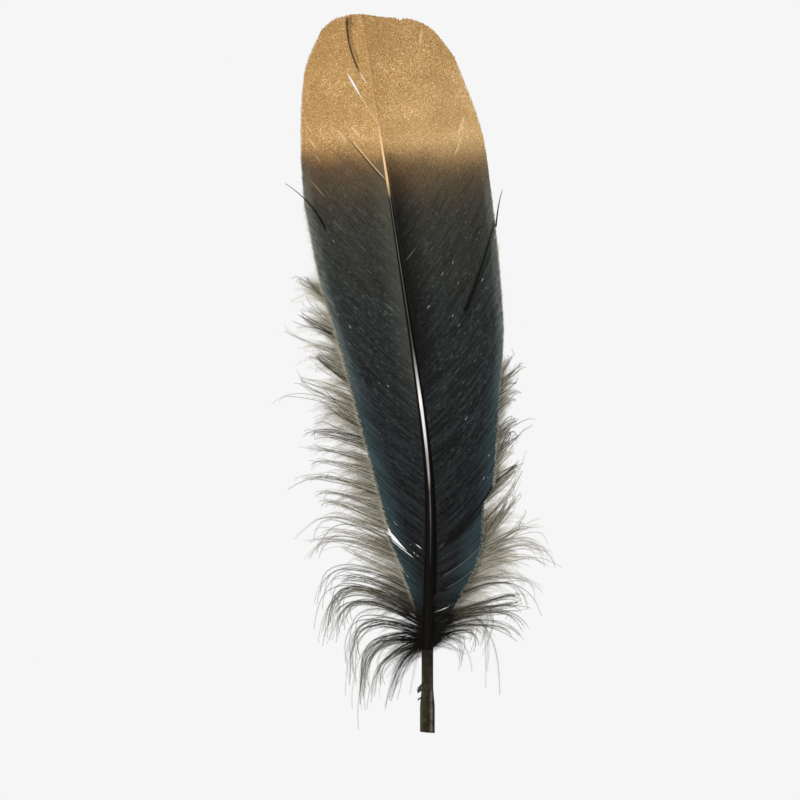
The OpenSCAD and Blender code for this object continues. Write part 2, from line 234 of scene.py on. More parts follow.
def shaft_width(z):
    u = np.clip((np.asarray(z, float) - TAPER_Z) / (FEATHER_LEN - TAPER_Z), 0, 1)
    return SHAFT_TIP_W + (SHAFT_W - SHAFT_TIP_W) * (1 - u) ** TAPER_POWER


def fall(v, z):
    """How far the vane lies behind the shaft's line, v to the side of it at height z."""
    depth = CAMBER * (FLATTEST + (1 - FLATTEST) * np.exp(-(((z - CAMBER_Z) / CAMBER_SPREAD) ** 2)))
    return depth * (1 - np.exp(-v / CAMBER_LEN)) + EDGE_SWEEP * (v / SWEEP_WIDTH) ** 2


def vane_y(x, z):
    return shaft_y(z) + fall(np.abs(x - shaft_x(z)), z)


def guide(guides, u):
    """Smooth values through the guide barbs for an array of u from 0 to 1, carried on straight past them."""
    g = np.array(guides, float)
    last = len(g) - 1
    below = np.minimum(u, 0)[:, None] * last * (g[1] - g[0])
    above = np.maximum(u - 1, 0)[:, None] * last * (g[-1] - g[-2])
    u = np.clip(u, 0, 1)
    i = np.clip(np.floor(u * last).astype(int), 0, last - 1)
    f = (u * last - i)[:, None]
    a = g[np.maximum(0, i - 1)]
    b = g[i]
    c = g[i + 1]
    d = g[np.minimum(last, i + 2)]
    smooth = (2 * b + (c - a) * f + (2 * a - 5 * b + 4 * c - d) * f**2 + (3 * b - a - 3 * c + d) * f**3) / 2
    return smooth + below + above


def bow(a, bend, b, t):
    """A curve from a to b that is drawn towards bend."""
    return (1 - t) ** 2 * a + 2 * t * (1 - t) * bend + t**2 * b


def barb_lines(side, guides, u, t):
    """Points along the barbs at u, as an array (barb, step, xyz)."""
    g = guide(guides, u)
    root = np.stack([shaft_x(g[:, 0]) + side * (shaft_width(g[:, 0]) / 2 + ROOT_GAP), g[:, 0]], 1)
    tip = g[:, 1:3]
    run = tip - root
    curl = CURL[side] + (side == LEFT) * TIP_CURL * np.clip((g[:, 0] - TIP_CURL_Z) / TIP_CURL_LEN, 0, 1)
    bend = (root + tip) / 2 + curl[:, None] * side * np.stack([run[:, 1], -run[:, 0]], 1)
    p = bow(root[:, None], bend[:, None], tip[:, None], t[None, :, None])
    y = vane_y(p[..., 0], p[..., 1]) - ROOT_RISE * shaft_width(g[:, 0])[:, None]
    return np.stack([p[..., 0], y, p[..., 1]], 2)


# ---- Meshes ----
SPIKE_POINTS = 7


def add_piece(name, verts, faces, values, material, replaced, smooth=False):
    """A mesh object from points in millimetres. faces is a list of arrays of triangles and quads,
    and values holds one number a point for each named attribute that the materials read."""
    mesh = bpy.data.meshes.new(name)
    faces = [f for f in faces if len(f)]
    counts = join([np.full(len(f), f.shape[1]) for f in faces])
    corners = join([f.ravel() for f in faces])
    mesh.vertices.add(len(verts))
    mesh.vertices.foreach_set("co", (np.asarray(verts, float) * MM).ravel())
    mesh.loops.add(len(corners))
    mesh.loops.foreach_set("vertex_index", corners.astype(np.int32))
    mesh.polygons.add(len(counts))
    mesh.polygons.foreach_set("loop_start", (np.cumsum(counts) - counts).astype(np.int32))
    mesh.polygons.foreach_set("use_smooth", np.full(len(counts), smooth))
    mesh.update(calc_edges=True)
    for key, numbers in values.items():
        mesh.attributes.new(key, "FLOAT", "POINT").data.foreach_set("value", np.asarray(numbers, np.float32))
    obj = new_object(name, mesh)
    mesh.materials.append(material)
    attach(obj, "root")
    if replaced:
        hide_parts(*replaced)
    return obj


def loft(rings):
    """Closed bodies through rings, an array (body, ring, side, xyz), as (points, quads, caps)."""
    bodies, count, sides = rings.shape[:3]
    index = np.arange(bodies * count * sides).reshape(bodies, count, sides)
    here = index[:, :-1]
    above = index[:, 1:]
    walls = np.stack([here, np.roll(here, -1, 2), np.roll(above, -1, 2), above], -1).reshape(-1, 4)
    ends = join([index[:, 0, ::-1], index[:, -1]])
    return rings.reshape(-1, 3), walls, ends


def unit(v):
    return v / np.maximum(np.linalg.norm(v, axis=-1, keepdims=True), 1e-9)


def turn(count):
    """Angles evenly round a circle."""
    return 2 * np.pi * np.arange(count) / count


def ring_round(along, hint, sides):
    """Unit vectors round each of the directions along, the first ones square to hint."""
    across = unit(np.cross(along, hint))
    third = np.cross(across, along)
    angle = turn(sides)[:, None]
    return np.cos(angle) * across[..., None, :] + np.sin(angle) * third[..., None, :]


def tubes(lines, radii, sides):
    """Rods along lines, an array (rod, step, xyz), with radii (rod, step)."""
    ring = ring_round(unit(np.gradient(lines, axis=1)), [0.03, 1, 0.02], sides)
    return loft(lines[..., None, :] + radii[..., None, None] * ring)


def spikes(root, middle, tip, radius):
    """Bent, pointed barbules: arrays of root, middle and tip points, as (points, quads, triangles)."""
    ring = ring_round(unit(tip - root), [0.31, 0.83, 0.27], 3)
    points = join([root[:, None] + radius * ring, middle[:, None] + 0.75 * radius * ring, tip[:, None]], 1)
    first = SPIKE_POINTS * np.arange(len(root))[:, None]
    walls = join([first + [i, (i + 1) % 3, 3 + (i + 1) % 3, 3 + i] for i in range(3)])
    ends = join([first + [3 + i, 3 + (i + 1) % 3, 6] for i in range(3)] + [first + [2, 1, 0]])
    return points.reshape(-1, 3), walls, ends


# ---- Vane ----
BARB_SPACING = 0.5
BARB_STEPS = 44
WEB_OVERLAP = 1.25
WEB_LEAST = 0.12
WEB_TILT = 0.03
NARROWS_AT = 0.96
CREST_SHARE = 0.35
CREST_RISE = 0.05
KEEL_DEPTH = 0.16
# Barbs whose half spacing is less than this lie flatter, so that crowded ones stay level.
CROWDED = 0.17
TUCK = 0.16
TUCK_SLOPE = 0.12
NEW_GROUP = 0.3
CLING = 0.14
WAVER = 0.12
UNEVEN = 0.1
NOTCH_X = -9.4
NOTCH_HALF = 2
NOTCH_LOW = 245
NOTCH_DEPTH = (0.1, 1.1)
SMALL_SLITS = 130
MARK_FADE = 0.06
# The materials' streaks read a barb's number from its height. This keeps the right side's apart.
RIGHT_OFFSET = 500

# A slit is (height of the root of the barb beside it, start and end along that barb, half its
# width, how many millimetres of the shaft the push reaches, skew of its shape towards the barb's tip).
SLITS = {
    LEFT: [
        (211.4, 0.12, 0.56, 0.42, 5, 1.9), (222.6, 0.08, 0.34, 0.2, 2, 1), (58, 0.2, 1.7, 0.95, 5, 1),
        (49.2, 0.45, 1.7, 0.45, 3, 1), (63.6, 0.5, 0.85, 0.09, 1, 1), (62.8, 0.05, 0.26, 0.2, 1, 1),
    ],
    RIGHT: [
        (43.8, 0.68, 1.02, 0.2, 1.5, 1), (42, 0.25, 0.45, 0.14, 1, 1), (42.6, 0.5, 0.62, 0.14, 1, 1),
    ],
}
# A mark is (height of the root, start and end along the barb, half width, strength). Above zero it
# is a pale scuff, below zero the shadow of a fold.
MARKS = {
    LEFT: [
        (222.4, 0.28, 1, 0.7, -1), (226, 0.3, 1, 3, -0.42), (211.4, 0, 0.3, 0.3, 0.7),
        (191.6, 0, 0.42, 0.25, 0.7), (190.5, 0, 0.45, 0.5, -0.75), (196.3, 0.27, 0.42, 0.6, 0.8),
        (188.4, 0.42, 0.6, 0.5, 0.7), (186.4, 0.5, 0.66, 0.4, 0.5), (179.5, 0.7, 0.82, 0.5, 0.6),
        (175, 0.86, 0.96, 0.5, 0.7), (171.5, 0.79, 0.92, 0.4, 0.8), (168.6, 0.75, 0.86, 0.4, 0.6),
        (159, 0.72, 0.93, 0.4, 0.3), (155, 0.5, 0.7, 0.4, 0.25), (143, 0.1, 0.24, 0.5, 0.5),
        (122.4, 0.82, 1, 0.5, 0.8),
    ],
    RIGHT: [
        (170.6, 0.72, 0.9, 0.8, 0.7), (168.4, 0.64, 0.8, 0.6, 0.6), (205.5, 0.8, 0.97, 1.0, 0.6),
        (178, 0.8, 0.95, 0.4, 0.5), (48.4, 0.25, 0.97, 0.3, 0.35), (53.1, 0.15, 1, 0.3, 0.4),
        (63.3, 0.02, 0.17, 0.35, 0.4), (63.4, 0.14, 1, 0.9, -1), (162, 0.02, 0.16, 0.4, 0.5),
        (125.6, 0.3, 1, 0.5, -0.3),
    ],
}


def random_slits(rng):
    """Tiny openings where a few hooks have let go, most of them below the middle of the feather."""
    slits = []
    for _ in range(SMALL_SLITS):
        z = 45 + 105 * rng.random() ** 1.3
        start = rng.uniform(0.1, 0.93)
        end = start + rng.uniform(0.015, 0.07)
        slits.append((z, start, end, rng.uniform(0.03, 0.14), rng.uniform(0.3, 0.6), 1))
    return slits


def opened(slits, root_z, t):
    """How far each barb is pushed along the shaft's direction by the slits beside it."""
    push = np.zeros((len(root_z), len(t)))
    for z, start, end, half, reach, skew in slits:
        away = root_z - z
        lens = np.sin(np.pi * np.clip((t - start) / (end - start), 0, 1) ** skew) ** 2
        near = np.sign(away) * half * np.exp(-np.abs(away) / reach)
        push += near[:, None] * lens[None, :]
    return push


def marked(side, root_z, t):
    """The strength of the marks along each barb."""
    mark = np.zeros((len(root_z), len(t)))
    for z, start, end, half, strength in MARKS[side]:
        near = np.exp(-(((root_z - z) / half) ** 2))
        inside = np.clip((t - start) / MARK_FADE, 0, 1) * np.clip((end - t) / MARK_FADE, 0, 1)
        mark += strength * near[:, None] * inside[None, :]
    return mark


def unsettled(middle, across, along, slits, root_z, rng):
    """The barbs' lines as they lie: they cling together in small groups near their tips, waver, leave
    the slits open and end a little unevenly."""
    count = len(middle)
    t = np.linspace(0, 1, BARB_STEPS)
    order = np.arange(count)
    group = np.cumsum(rng.random(count) < NEW_GROUP)
    centre = np.array([order[group == g].mean() for g in group])
    loose = rng.random(count)[group % count]
    cling = CLING * ((centre - order) * loose)[:, None] * t**12
    wobble = WAVER * np.sin(rng.uniform(0, 6.28, (count, 1)) + t * rng.uniform(8, 20, (count, 1)))
    middle = middle + across * (cling + wobble)[..., None]
    middle = middle + opened(slits, root_z, t)[..., None] * unit(across)
    tip = middle[:, -1]
    notched = (np.abs(tip[:, 0] - NOTCH_X) < NOTCH_HALF) * (tip[:, 2] > NOTCH_LOW)
    short = notched * rng.uniform(*NOTCH_DEPTH, count)
    reach = rng.normal(0, UNEVEN, count) - short
    return middle + along * (reach[:, None] * t**2)[..., None]


def web(middle, across, tip_loss):
    """The six corners of each barb at each step: a thin tilted web, a low crest in front and a keel
    behind. The web loses the share tip_loss of its width at the very tip."""
    t = np.linspace(0, 1, BARB_STEPS)[:, None]
    narrow = 1 - tip_loss * np.clip((t - NARROWS_AT) / (1 - NARROWS_AT), 0, 1) ** 1.5
    size = np.linalg.norm(across, axis=2, keepdims=True)
    wide = unit(across) * np.maximum(size * WEB_OVERLAP * narrow, WEB_LEAST)
    inner = CREST_SHARE * wide
    front = np.array([0, -1, 0]) * np.clip(size / CROWDED, 0.05, 1)
    tilt = WEB_TILT * front
    crest = CREST_RISE * (1 - 0.5 * t) * front
    keel = KEEL_DEPTH * (1 - 0.6 * t) * front
    return [middle - wide - tilt, middle - inner + crest, middle + inner + crest,
            middle + wide + tilt, middle + inner - keel, middle - inner - keel]


def vane_panel(name, slits, rng, material):
    """All the barbs of a panel as one piece. It returns where they end and which way they point."""
    side = LEFT if name.startswith("left") else RIGHT
    (low, high), guides = PANELS[name]
    span = guides[-1][0] - guides[0][0]
    count = int(round((span + low + high) / BARB_SPACING))
    step = (1 + (low + high) / span) / count
    u = -low / span + step * (np.arange(count) + 0.5)
    t = np.linspace(0, 1, BARB_STEPS)
    middle = barb_lines(side, guides, u, t)
    across = (barb_lines(side, guides, u + step / 2, t) - barb_lines(side, guides, u - step / 2, t)) / 2
    along = unit(np.gradient(middle, axis=1))
    across = across - (across * along).sum(-1, keepdims=True) * along
    root_z = guide(guides, u)[:, 0]
    length = np.linalg.norm(np.diff(middle, axis=1), axis=2).sum(1)
    middle = unsettled(middle, across, along, slits, root_z, rng)

    # The barbs of a panel's margin tuck under the next panel.
    beyond = np.maximum(0, np.maximum(-u, u - 1))[:, None] * span
    middle[..., 1] += TUCK * np.minimum(1, beyond) + TUCK_SLOPE * beyond * t
    section = web(middle, across, 0.15 if name.endswith("tip") else 0.5)
    if side == RIGHT:
        section = section[::-1]
    points, walls, ends = loft(np.stack(section, 2))
    by_step = {
        "lateral": middle[..., 0] - shaft_x(middle[..., 2]),
        "to_tip": (1 - t) * length[:, None],
        "mark": marked(side, root_z, t),
        "root": np.repeat(root_z[:, None] + RIGHT_OFFSET * (side == RIGHT), BARB_STEPS, 1),
        "out": t * length[:, None],
    }
    values = {key: np.repeat(numbers.ravel(), len(section)) for key, numbers in by_step.items()}
    add_piece(name + "_barbs", points, [walls, ends], values, material, [name])
    return middle[:, -1], unit(middle[:, -1] - middle[:, -4])


RIM_HAIRS = {LEFT: 9, RIGHT: 6}
RIM_HAIR_LEN = {LEFT: 3.0, RIGHT: 1.7}
RIM_HAIR_R = 0.035
RIM_HAIRS_TOP = 192


def rim_hairs(side, rims, rng, material):
    """Short pale hairs that stand out past the ends of the barbs. They are extra to the CAD nodes."""
    ends = np.repeat(join([r[0] for r in rims]), RIM_HAIRS[side], 0)
    ways = np.repeat(join([r[1] for r in rims]), RIM_HAIRS[side], 0)
    kept = ends[:, 2] < RIM_HAIRS_TOP - rng.uniform(0, 15, len(ends))
    ends, ways = ends[kept], ways[kept]
    size = rng.uniform(0.5, 1, (len(ends), 1)) * RIM_HAIR_LEN[side] * rng.uniform(0.3, 1, (len(ends), 1))
    outward = unit(ways + np.array([0.7 * side, 0, 0]) + rng.normal(0, 0.25, ends.shape))
    roots = ends - ways * rng.uniform(0.2, 1.5, (len(ends), 1)) + rng.normal(0, 0.15, ends.shape)
    middles = roots + 0.5 * size * outward + rng.normal(0, 0.1, ends.shape)
    tips = roots + size * unit(outward + 0.5 * ways) + rng.normal(0, 0.2, ends.shape)
    points, walls, ends = spikes(roots, middles, tips, RIM_HAIR_R)
    values = {
        "core": np.zeros(len(points)),
        "tone": np.repeat(rng.random(len(roots)), SPIKE_POINTS),
        "shade": np.repeat(rng.uniform(0, 0.6, len(roots)), SPIKE_POINTS),
    }
    add_piece(WORD[side] + "_rim_hairs", points, [walls, ends], values, material, [])


# ---- Shaft and barrel ----
SHAFT_SIDES = 36
SHAFT_STEP = 1.1
BARREL_SIDES = 96
CLOSED_TOP = 1.5
NECK_WALL = 0.35
OPENING = 0.06
GROWTH_RINGS = 24
RING_RISE = 0.022
RING_HALF = 0.16
FIBRE_RISE = 0.005
# (number round the barrel, phase) of its lengthwise fibres
FIBRES = ((7, 0.3), (13, 1.9), (23, 4.1), (31, 2.2))
CUT_SLANT = 0.22
CUT_RAGGED = 0.02


def sign_pow(v, p):
    return np.sign(v) * np.abs(v) ** p


def shaft(material):
    """The horny outside of the shaft, with the groove along its back."""
    z = np.linspace(BARREL_TOP, FEATHER_LEN, int((FEATHER_LEN - BARREL_TOP) / SHAFT_STEP))
    a = turn(SHAFT_SIDES)
    ramp = np.minimum(1, (z - BARREL_TOP) / SQUARING_LEN)[:, None]
    power = 1 - (1 - SQUARE_POWER) * ramp
    dent = GROOVE_SHARE * ramp * np.where(np.sin(a) > 0, np.sin(a) ** 6, 0)
    r = shaft_width(z)[:, None] / 2
    x = shaft_x(z)[:, None] + r * sign_pow(np.cos(a), power)
    y = shaft_y(z)[:, None] + r * sign_pow(np.sin(a), power) * (1 - 2 * dent)
    rings = np.stack([x, y, np.broadcast_to(z[:, None], x.shape)], -1)
    points, walls, ends = loft(rings[None])
    values = {"ridge": np.broadcast_to(-np.sin(a)[None, :], x.shape).ravel(),
              "lateral": (x - shaft_x(z)[:, None]).ravel()}
    add_piece("shaft_horn", points, [walls, ends], values, material, ["shaft_skin"], True)


def neck(z, wide, narrow):
    """A radius that goes from wide below to narrow above the neck."""
    u = np.clip((z - GRIP_LEN) / (NECK_Z - GRIP_LEN), 0, 1)
    return wide + (narrow - wide) * (1 - np.cos(np.pi * u)) / 2


def barrel(rng, material):
    """A horn tube, one closed surface: up the outside, over the top and down the hollow."""
    wall_top = BARREL_TOP - CLOSED_TOP
    outer_z = np.linspace(0.12, BARREL_TOP, 130)
    inner_z = np.linspace(wall_top, 0.1, 70)
    rings_at = np.cumsum(rng.uniform(0.6, 1.9, GROWTH_RINGS))
    ripple = sum(rng.uniform(0.3, 1) * np.exp(-(((outer_z - at) / RING_HALF) ** 2)) for at in rings_at)
    outer_r = neck(outer_z, BARREL_R, SHAFT_W / 2) - 0.03 + RING_RISE * ripple
    inner_r = neck(inner_z, BORE_R, SHAFT_W / 2 - NECK_WALL)
    lip = [(BORE_R + OPENING, 0.0), (BARREL_R - 0.14, 0.0), (BARREL_R - 0.05, 0.045)]
    top = [(SHAFT_W / 2 - 0.1, BARREL_TOP), (0.02, BARREL_TOP), (0.02, wall_top),
           (inner_r[0] * 0.6, wall_top)]
    r = join([[p[0] for p in lip], outer_r, [p[0] for p in top], inner_r])
    z = join([[p[1] for p in lip], outer_z, [p[1] for p in top], inner_z])
    a = turn(BARREL_SIDES)
    fibre = sum(np.sin(k * a + p) for k, p in FIBRES) * FIBRE_RISE
    outside = np.zeros(len(r))
    outside[len(lip):len(lip) + len(outer_z)] = 1
    radius = r[:, None] + outside[:, None] * fibre[None, :]
    ragged = CUT_SLANT * (1 - np.cos(a)) + CUT_RAGGED * (np.sin(5 * a) + np.sin(9 * a + 1))
    lift = np.exp(-z / 1.5)[:, None] * (ragged + 0.05)[None, :]
    points = np.stack([radius * np.cos(a), radius * np.sin(a), z[:, None] + lift], -1)
    count = len(r)
    index = np.arange(count * BARREL_SIDES).reshape(count, BARREL_SIDES)
    after = np.roll(index, -1, 0)
    walls = np.stack([index, np.roll(index, -1, 1), np.roll(after, -1, 1), after], -1).reshape(-1, 4)
    add_piece("barrel_horn", points.reshape(-1, 3), [walls], {}, material, ["barrel"], True)


# ---- Down ----
STRAND_STEPS = 18
STRAND_SIDES = 4
BARBULE_START = 0.4
BARBULE_STEP = 0.3
BARBULE_R = 0.022
DOWN_BACK = 0.3
DOWN_SLOPE = 0.06
INSET = 4
# The big split lets light through here, so no down starts behind it.
SPLIT_Z = 66
SPLIT_EDGE_Z = 68.4
LOW_LOCKS = 52
SPRING_Z = 29.6
STRAY_SHARE = 0.3
STRAY = 3
WISP_WAVE = 1.05
FINE_WAVE = 0.6
HAZE_REACH = 16
TUFT_STRANDS = 40


def edge_x(side, z):
    """Where the vane ends at height z, or the shaft below it."""
    tips = np.array([g[1:] for name in PANELS if name.startswith(WORD[side]) for g in PANELS[name][1]])
    return np.interp(z, np.append(30, tips[:, 1]), np.append(side * 2, tips[:, 0]))


def bent_lines(rng, roots, middles, tips, wave, depth, hook=0.0):
    """Wavy lines through three points each, arrays of (x, height), as (strand, step, xyz). hook is how far
    their ends curl over."""
    t = np.linspace(0, 1, STRAND_STEPS)[None, :, None]
    bend = 2 * middles - (roots + tips) / 2
    p = bow(roots[:, None], bend[:, None], tips[:, None], t)
    grow = t[..., 0] ** 1.3
    count = len(roots)
    for axis in (0, 1, 0, 1):
        phase = rng.uniform(0, 6.28, (count, 1))
        rate = rng.uniform(3, 16, (count, 1))
        size = wave * rng.uniform(0.2, 1, (count, 1)) * 4 / rate
        p[..., axis] += size * grow * (np.sin(phase + rate * t[..., 0]) - np.sin(phase))
    end = np.clip((t - 0.55) / 0.45, 0, 1) ** 2
    p[..., 1] -= (hook * end)[..., 0]
    p[..., 0] -= (0.45 * np.abs(hook) * end)[..., 0] * np.sign(tips[:, :1])
    y = vane_y(roots[:, :1], roots[:, 1:]) + DOWN_BACK
    y = y + depth[:, None] * np.minimum(1, 0.25 + 2.5 * t[..., 0])
    y = y + DOWN_SLOPE * np.abs(p[..., 0] - p[:, :1, 0]) + rng.normal(0, 0.8, (count, 1)) * grow
    return np.stack([p[..., 0], y, p[..., 1]], 2)


def inset(side, z):
    """How far inside the vane's edge the down starts, nothing where the big split lets light through."""
    return INSET * (1 - (side == LEFT) * np.exp(-(((z - SPLIT_Z) / 6) ** 4)))


def wisp_lines(side, wisp, rng):
    """The strands of a wisp: they leave the vane side by side and run together towards its tip. The
    lowest ones spring from the shaft and pass in front of the vane."""
    z, middle_x, middle_z, tip_x, tip_z, strands = wisp
    strands = int(strands * (1.35 if z < 62 or side == RIGHT else 1.15))
    low = np.clip((LOW_LOCKS - z) / 8, 0, 1)
    root = np.array([edge_x(side, z), z])
    middle = np.array([middle_x, middle_z])
    tip = np.array([tip_x, tip_z])
    spread = rng.normal(0, 1, (strands, 1))
    edge = unit(np.array([edge_x(side, z + 1) - edge_x(side, z - 1), 2]))
    roots = root + unit(root - middle) * min(inset(side, z), abs(root[0]) * 0.8) + 1.7 * spread * edge
    heights = SPRING_Z + 0.55 * (z - 29) + rng.uniform(-1.2, 3, strands)
    springs = np.stack([shaft_x(heights) + side * 0.8, heights], 1)
    roots = (1 - low) * roots + low * springs
    stray = (rng.random((strands, 1)) < STRAY_SHARE) * rng.normal(0, STRAY, (strands, 2))
    middles = middle + 0.65 * spread * np.array([0.3 * side, 1]) + rng.normal(0, 0.4, (strands, 2))
    middles = middles + 0.5 * stray
    tips = tip + 0.3 * spread * np.array([0, 1]) + rng.normal(0, 0.5, (strands, 2)) + stray
    reach = 1 - 0.55 * rng.random((strands, 1)) ** 1.3
    tips = middles + (tips - middles) * reach
    hook = rng.normal(0.3, 0.8) + rng.normal(0, 0.7, (strands, 1, 1))
    return bent_lines(rng, roots, middles, tips, WISP_WAVE, rng.uniform(-3 * low, 1.5, strands), hook)


def haze_lines(side, wisp, rng):
    """Short soft strands that fill the space close to the vane, beside a wisp."""
    z, middle_x, middle_z, tip_x, tip_z, _ = wisp
    thin = side == RIGHT and z > 80
    count = 14 if z < 45 else 24 if thin else 38
    heights = z + rng.uniform(-3.2, 3.2, count)
    heights = heights[(side == RIGHT) | (np.abs(heights - SPLIT_EDGE_Z) > 1.6)]
    count = len(heights)
    root = np.stack([edge_x(side, heights), heights], 1)
    way = unit(np.array([middle_x - edge_x(side, z), middle_z - z]))
    far = np.hypot(tip_x - edge_x(side, z), tip_z - z)
    size = rng.uniform(0.2, 0.7 if thin else 1.0, (count, 1)) * min(far, HAZE_REACH)
    angle = rng.normal(0, 0.3, count)
    cos, sin = np.cos(angle), np.sin(angle)
    way = np.stack([way[0] * cos - way[1] * sin, way[0] * sin + way[1] * cos], 1)
    tips = root + way * size + np.array([0, -0.02]) * size**2
    middles = (root + tips) / 2 + np.array([0, 0.06]) * size
    start = root - 0.5 * inset(side, heights)[:, None] * way
    return bent_lines(rng, start, middles, tips, FINE_WAVE, rng.uniform(0.9, 3, count))


def tuft_lines(side, rng, low, high, count):
    """Black down that springs from the shaft itself and lies over the foot of the vane."""
    z = rng.uniform(low, high, count)
    roots = np.stack([shaft_x(z) + side * 0.8, z], 1)
    size = rng.uniform(2.5, 4 + 0.45 * (z - 28), count)[:, None]
    angle = rng.uniform(0.45, 1.2, count)
    way = np.stack([side * np.cos(angle), np.sin(angle)], 1)
    middles = roots + 0.55 * way * size
    tips = middles + size * np.stack([side * rng.uniform(0.3, 0.6, count), rng.normal(0.12, 0.2, count)], 1)
    return bent_lines(rng, roots, middles, tips, FINE_WAVE, rng.uniform(-3, 1.5, count))


def barbules(rng, lines, length):
    """Root, middle and tip points of the barbules along both sides of the strands."""
    roots, middles, tips = [], [], []
    for line, size in zip(lines, length):
        steps = np.linalg.norm(np.diff(line, axis=0), axis=1)
        far = join([[0], np.cumsum(steps)])
        total = far[-1]
        at = np.arange(BARBULE_START, total, BARBULE_STEP)
        side = np.tile([-1, 1], len(at))
        at = np.repeat(at, 2) + rng.uniform(-0.12, 0.12, 2 * len(at))
        behind, place, ahead = [np.stack([np.interp(at + more, far, axis) for axis in line.T], 1)
                                for more in (-0.3, 0, 0.3)]
        along = unit(ahead - behind)
        flat = unit(np.cross(along, [0, 1, 0]))
        deep = np.cross(along, flat)
        roll = rng.normal(0, 0.55, len(at))
        out = side[:, None] * (np.cos(roll)[:, None] * flat + np.sin(roll)[:, None] * deep)
        long = size * (1 - 0.55 * (at / total) ** 2) * rng.uniform(0.6, 1.15, len(at))
        spread = rng.uniform(0.5, 0.95, len(at))[:, None]
        middles.append(place + 0.5 * long[:, None] * (spread * out + 0.45 * along))
        reach = long[:, None] * (0.78 * spread * out + 0.8 * along)
        tips.append(place + reach + rng.normal(0, 0.12, place.shape))
        roots.append(place)
    return join(roots), join(middles), join(tips)


def down_piece(name, rng, lines, radius, length, shade, material, node):
    """Strands with their barbules as one piece in place of a CAD node. radius, length and shade hold the
    thickness of each strand, the length of its barbules and how dark it is."""
    t = np.linspace(0, 1, STRAND_STEPS)
    radii = radius[:, None] * (1 - 0.75 * t)[None, :]
    rod_points, rod_walls, rod_ends = tubes(lines, radii, STRAND_SIDES)
    roots, middles, tips = barbules(rng, lines, length)
    fine_points, fine_walls, fine_ends = spikes(roots, middles, tips, BARBULE_R)
    first = len(rod_points)
    points = join([rod_points, fine_points])
    faces = [rod_walls, rod_ends, fine_walls + first, fine_ends + first]
    steps = np.linalg.norm(np.diff(lines, axis=1), axis=2).sum(1)
    each = [2 * len(np.arange(BARBULE_START, total, BARBULE_STEP)) for total in steps]
    values = {"core": join([np.ones(first), np.zeros(len(fine_points))])}
    for key, numbers in (("tone", rng.random(len(lines))), ("shade", shade)):
        on_rods = np.repeat(numbers, STRAND_STEPS * STRAND_SIDES)
        on_barbules = np.repeat(np.repeat(numbers, each), SPIKE_POINTS)
        values[key] = join([on_rods, on_barbules])
    add_piece(name, points, faces, values, material, [node])


def down_lock(side, i, rng, material):
    """The wisps nearest to a lock's height, the haze beside them and, low down, its tuft of black down."""
    heights = np.array(LOCKS[side])
    lines, radius, length, shade = [], [], [], []
    for wisp in WISPS[side]:
        if np.abs(heights - wisp[0]).argmin() == i:
            strands = wisp_lines(side, wisp, rng)
            haze = haze_lines(side, wisp, rng)
            deep = wisp[5] >= 9 or wisp[0] < LOW_LOCKS or rng.random() < 0.3
            dark = 0.85 if deep else 0.55
            lines += [strands, haze]
            thick = 0.13 if deep else 0.09
            radius += [rng.uniform(0.6, 1.3, len(strands)) * thick, rng.uniform(0.03, 0.05, len(haze))]
            length += [rng.uniform(0.9, 1.7, len(strands)), rng.uniform(1.4, 2.6, len(haze))]
            shade += [dark + rng.uniform(-0.3, 0.1, len(strands)), rng.uniform(0, 0.3, len(haze))]
    if heights[i] < LOW_LOCKS:
        tuft = tuft_lines(side, rng, 28.8, 30 + 0.75 * (heights[i] - 28), TUFT_STRANDS)
        lines.append(tuft)
        radius.append(rng.uniform(0.09, 0.17, len(tuft)))
        length.append(rng.uniform(0.7, 1.3, len(tuft)))
        shade.append(rng.uniform(0.9, 1.1, len(tuft)))
    name = "%s_down_%d" % (WORD[side], i + 1)
    joined = [join(part) for part in (lines, radius, length, shade)]
    down_piece(name + "_strands", rng, *joined, material, name)


# ---- Loose barbs and sheath ----
LOOSE = {
    # Three points (x, height) each: where it starts, one that it bends towards, and its free end.
    "loose_barb_left": [(-35.5, 175), (-40, 185), (-49.5, 191)],
    "loose_barb_right": [(13, 146.5), (20, 163), (23.5, 178.5)],
    "loose_barb_outer": [(23.9, 176), (24.6, 184), (26.2, 189)],
}
LOOSE_THICK = {"loose_barb_left": 0.3, "loose_barb_right": 0.52, "loose_barb_outer": 0.3}


def loose_barb(name, rng, material):
    """A barb that has come away and lies in front of the vane."""
    t = np.linspace(0, 1, STRAND_STEPS)[:, None]
    p = bow(*np.array(LOOSE[name], float), t)
    y = vane_y(p[:, 0], p[:, 1]) - 0.8 - 0.8 * np.sin(np.pi * t[:, 0])
    line = np.stack([p[:, 0], y, p[:, 1]], 1)[None]
    thick = np.array([LOOSE_THICK[name]])
    down_piece(name + "_strand", rng, line, thick, 2.2 * thick, np.array([1.0]), material, name)


# Each shred is a line of (x, y, height, half width), from the barrel outwards.
FLAKES = {
    "sheath_flake_upper": [(-1.7, -1.6, 17.6, 0.1), (-2.1, -1.5, 16.6, 0.45), (-2.5, -1.3, 15.7, 0.6),
                           (-2.8, -1.1, 15.0, 0.6), (-3.1, -1.0, 14.4, 0.4), (-3.3, -0.9, 13.9, 0.12)],
    "sheath_flake_lower": [(-1.9, -1.7, 12.6, 0.1), (-2.4, -1.4, 12.3, 0.24), (-2.8, -1.2, 12.0, 0.26),
                           (-3.1, -1.0, 11.7, 0.22), (-3.3, -0.9, 11.2, 0.06)],
}
FLAKE_THICK = 0.11
FLAKE_STEPS = 26


